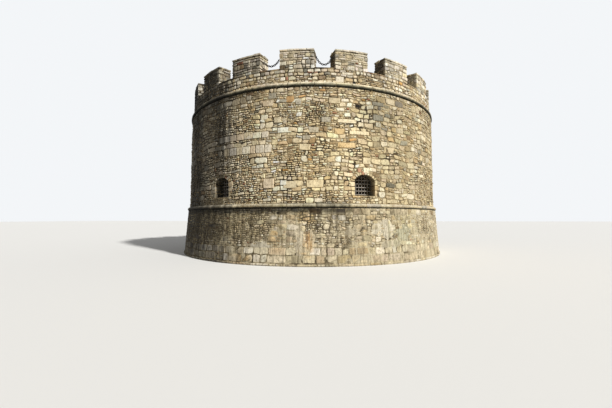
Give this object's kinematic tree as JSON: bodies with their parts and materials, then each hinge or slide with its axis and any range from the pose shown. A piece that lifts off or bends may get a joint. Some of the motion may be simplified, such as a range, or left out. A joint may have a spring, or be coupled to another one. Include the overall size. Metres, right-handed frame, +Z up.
{
  "type": "martello tower",
  "caption": "Round stone gun tower with a battered foot, arched gun windows, two string courses, a vaulted gun room and a merloned terrace with hanging chains.",
  "frame": {"origin": "centre of the tower's round foot, on the ground", "axes": "+Z up along the tower's axis, -Y towards the front between two gun windows, +Y through the doorway at the back"},
  "size_m": [15.0996, 15.0999, 9],
  "materials": {
    "rubble": "matte",
    "weathered": "matte",
    "dressed": "matte",
    "coursework": "matte",
    "plaster": "matte",
    "paving": "matte",
    "tile": "matte",
    "iron": "matte"
  },
  "bodies": {
    "root": {"scarp_wall_1": "weathered", "scarp_wall_2": "weathered", "scarp_wall_3": "weathered", "scarp_wall_4": "weathered", "scarp_wall_5": "weathered", "door_head": "weathered", "door_surround": "dressed", "door_threshold": "dressed", "lower_string_course": "coursework", "drum_pier_1": "rubble", "drum_pier_2": "rubble", "drum_pier_3": "rubble", "drum_pier_4": "rubble", "drum_pier_5": "rubble", "drum_pier_6": "rubble", "window_breasts": "rubble", "window_heads": "rubble", "window_surrounds": "dressed", "window_sills": "dressed", "gun_floor": "plaster", "vault_1": "plaster", "vault_2": "plaster", "vault_3": "plaster", "vault_4": "plaster", "upper_string_course": "coursework", "terrace_paving": "paving", "parapet_wall": "rubble", "crenel_sills": "tile", "merlon_01": "rubble", "merlon_02": "rubble", "merlon_03": "rubble", "merlon_04": "rubble", "merlon_05": "rubble", "merlon_06": "rubble", "merlon_07": "rubble", "merlon_08": "rubble", "merlon_09": "rubble", "merlon_10": "rubble", "merlon_11": "rubble", "merlon_12": "rubble", "merlon_13": "rubble", "merlon_14": "rubble", "merlon_15": "rubble", "merlon_16": "rubble", "merlon_17": "rubble", "merlon_18": "rubble", "merlon_19": "rubble", "chain_left": "iron", "chain_right": "iron"}
  },
  "joints": []
}
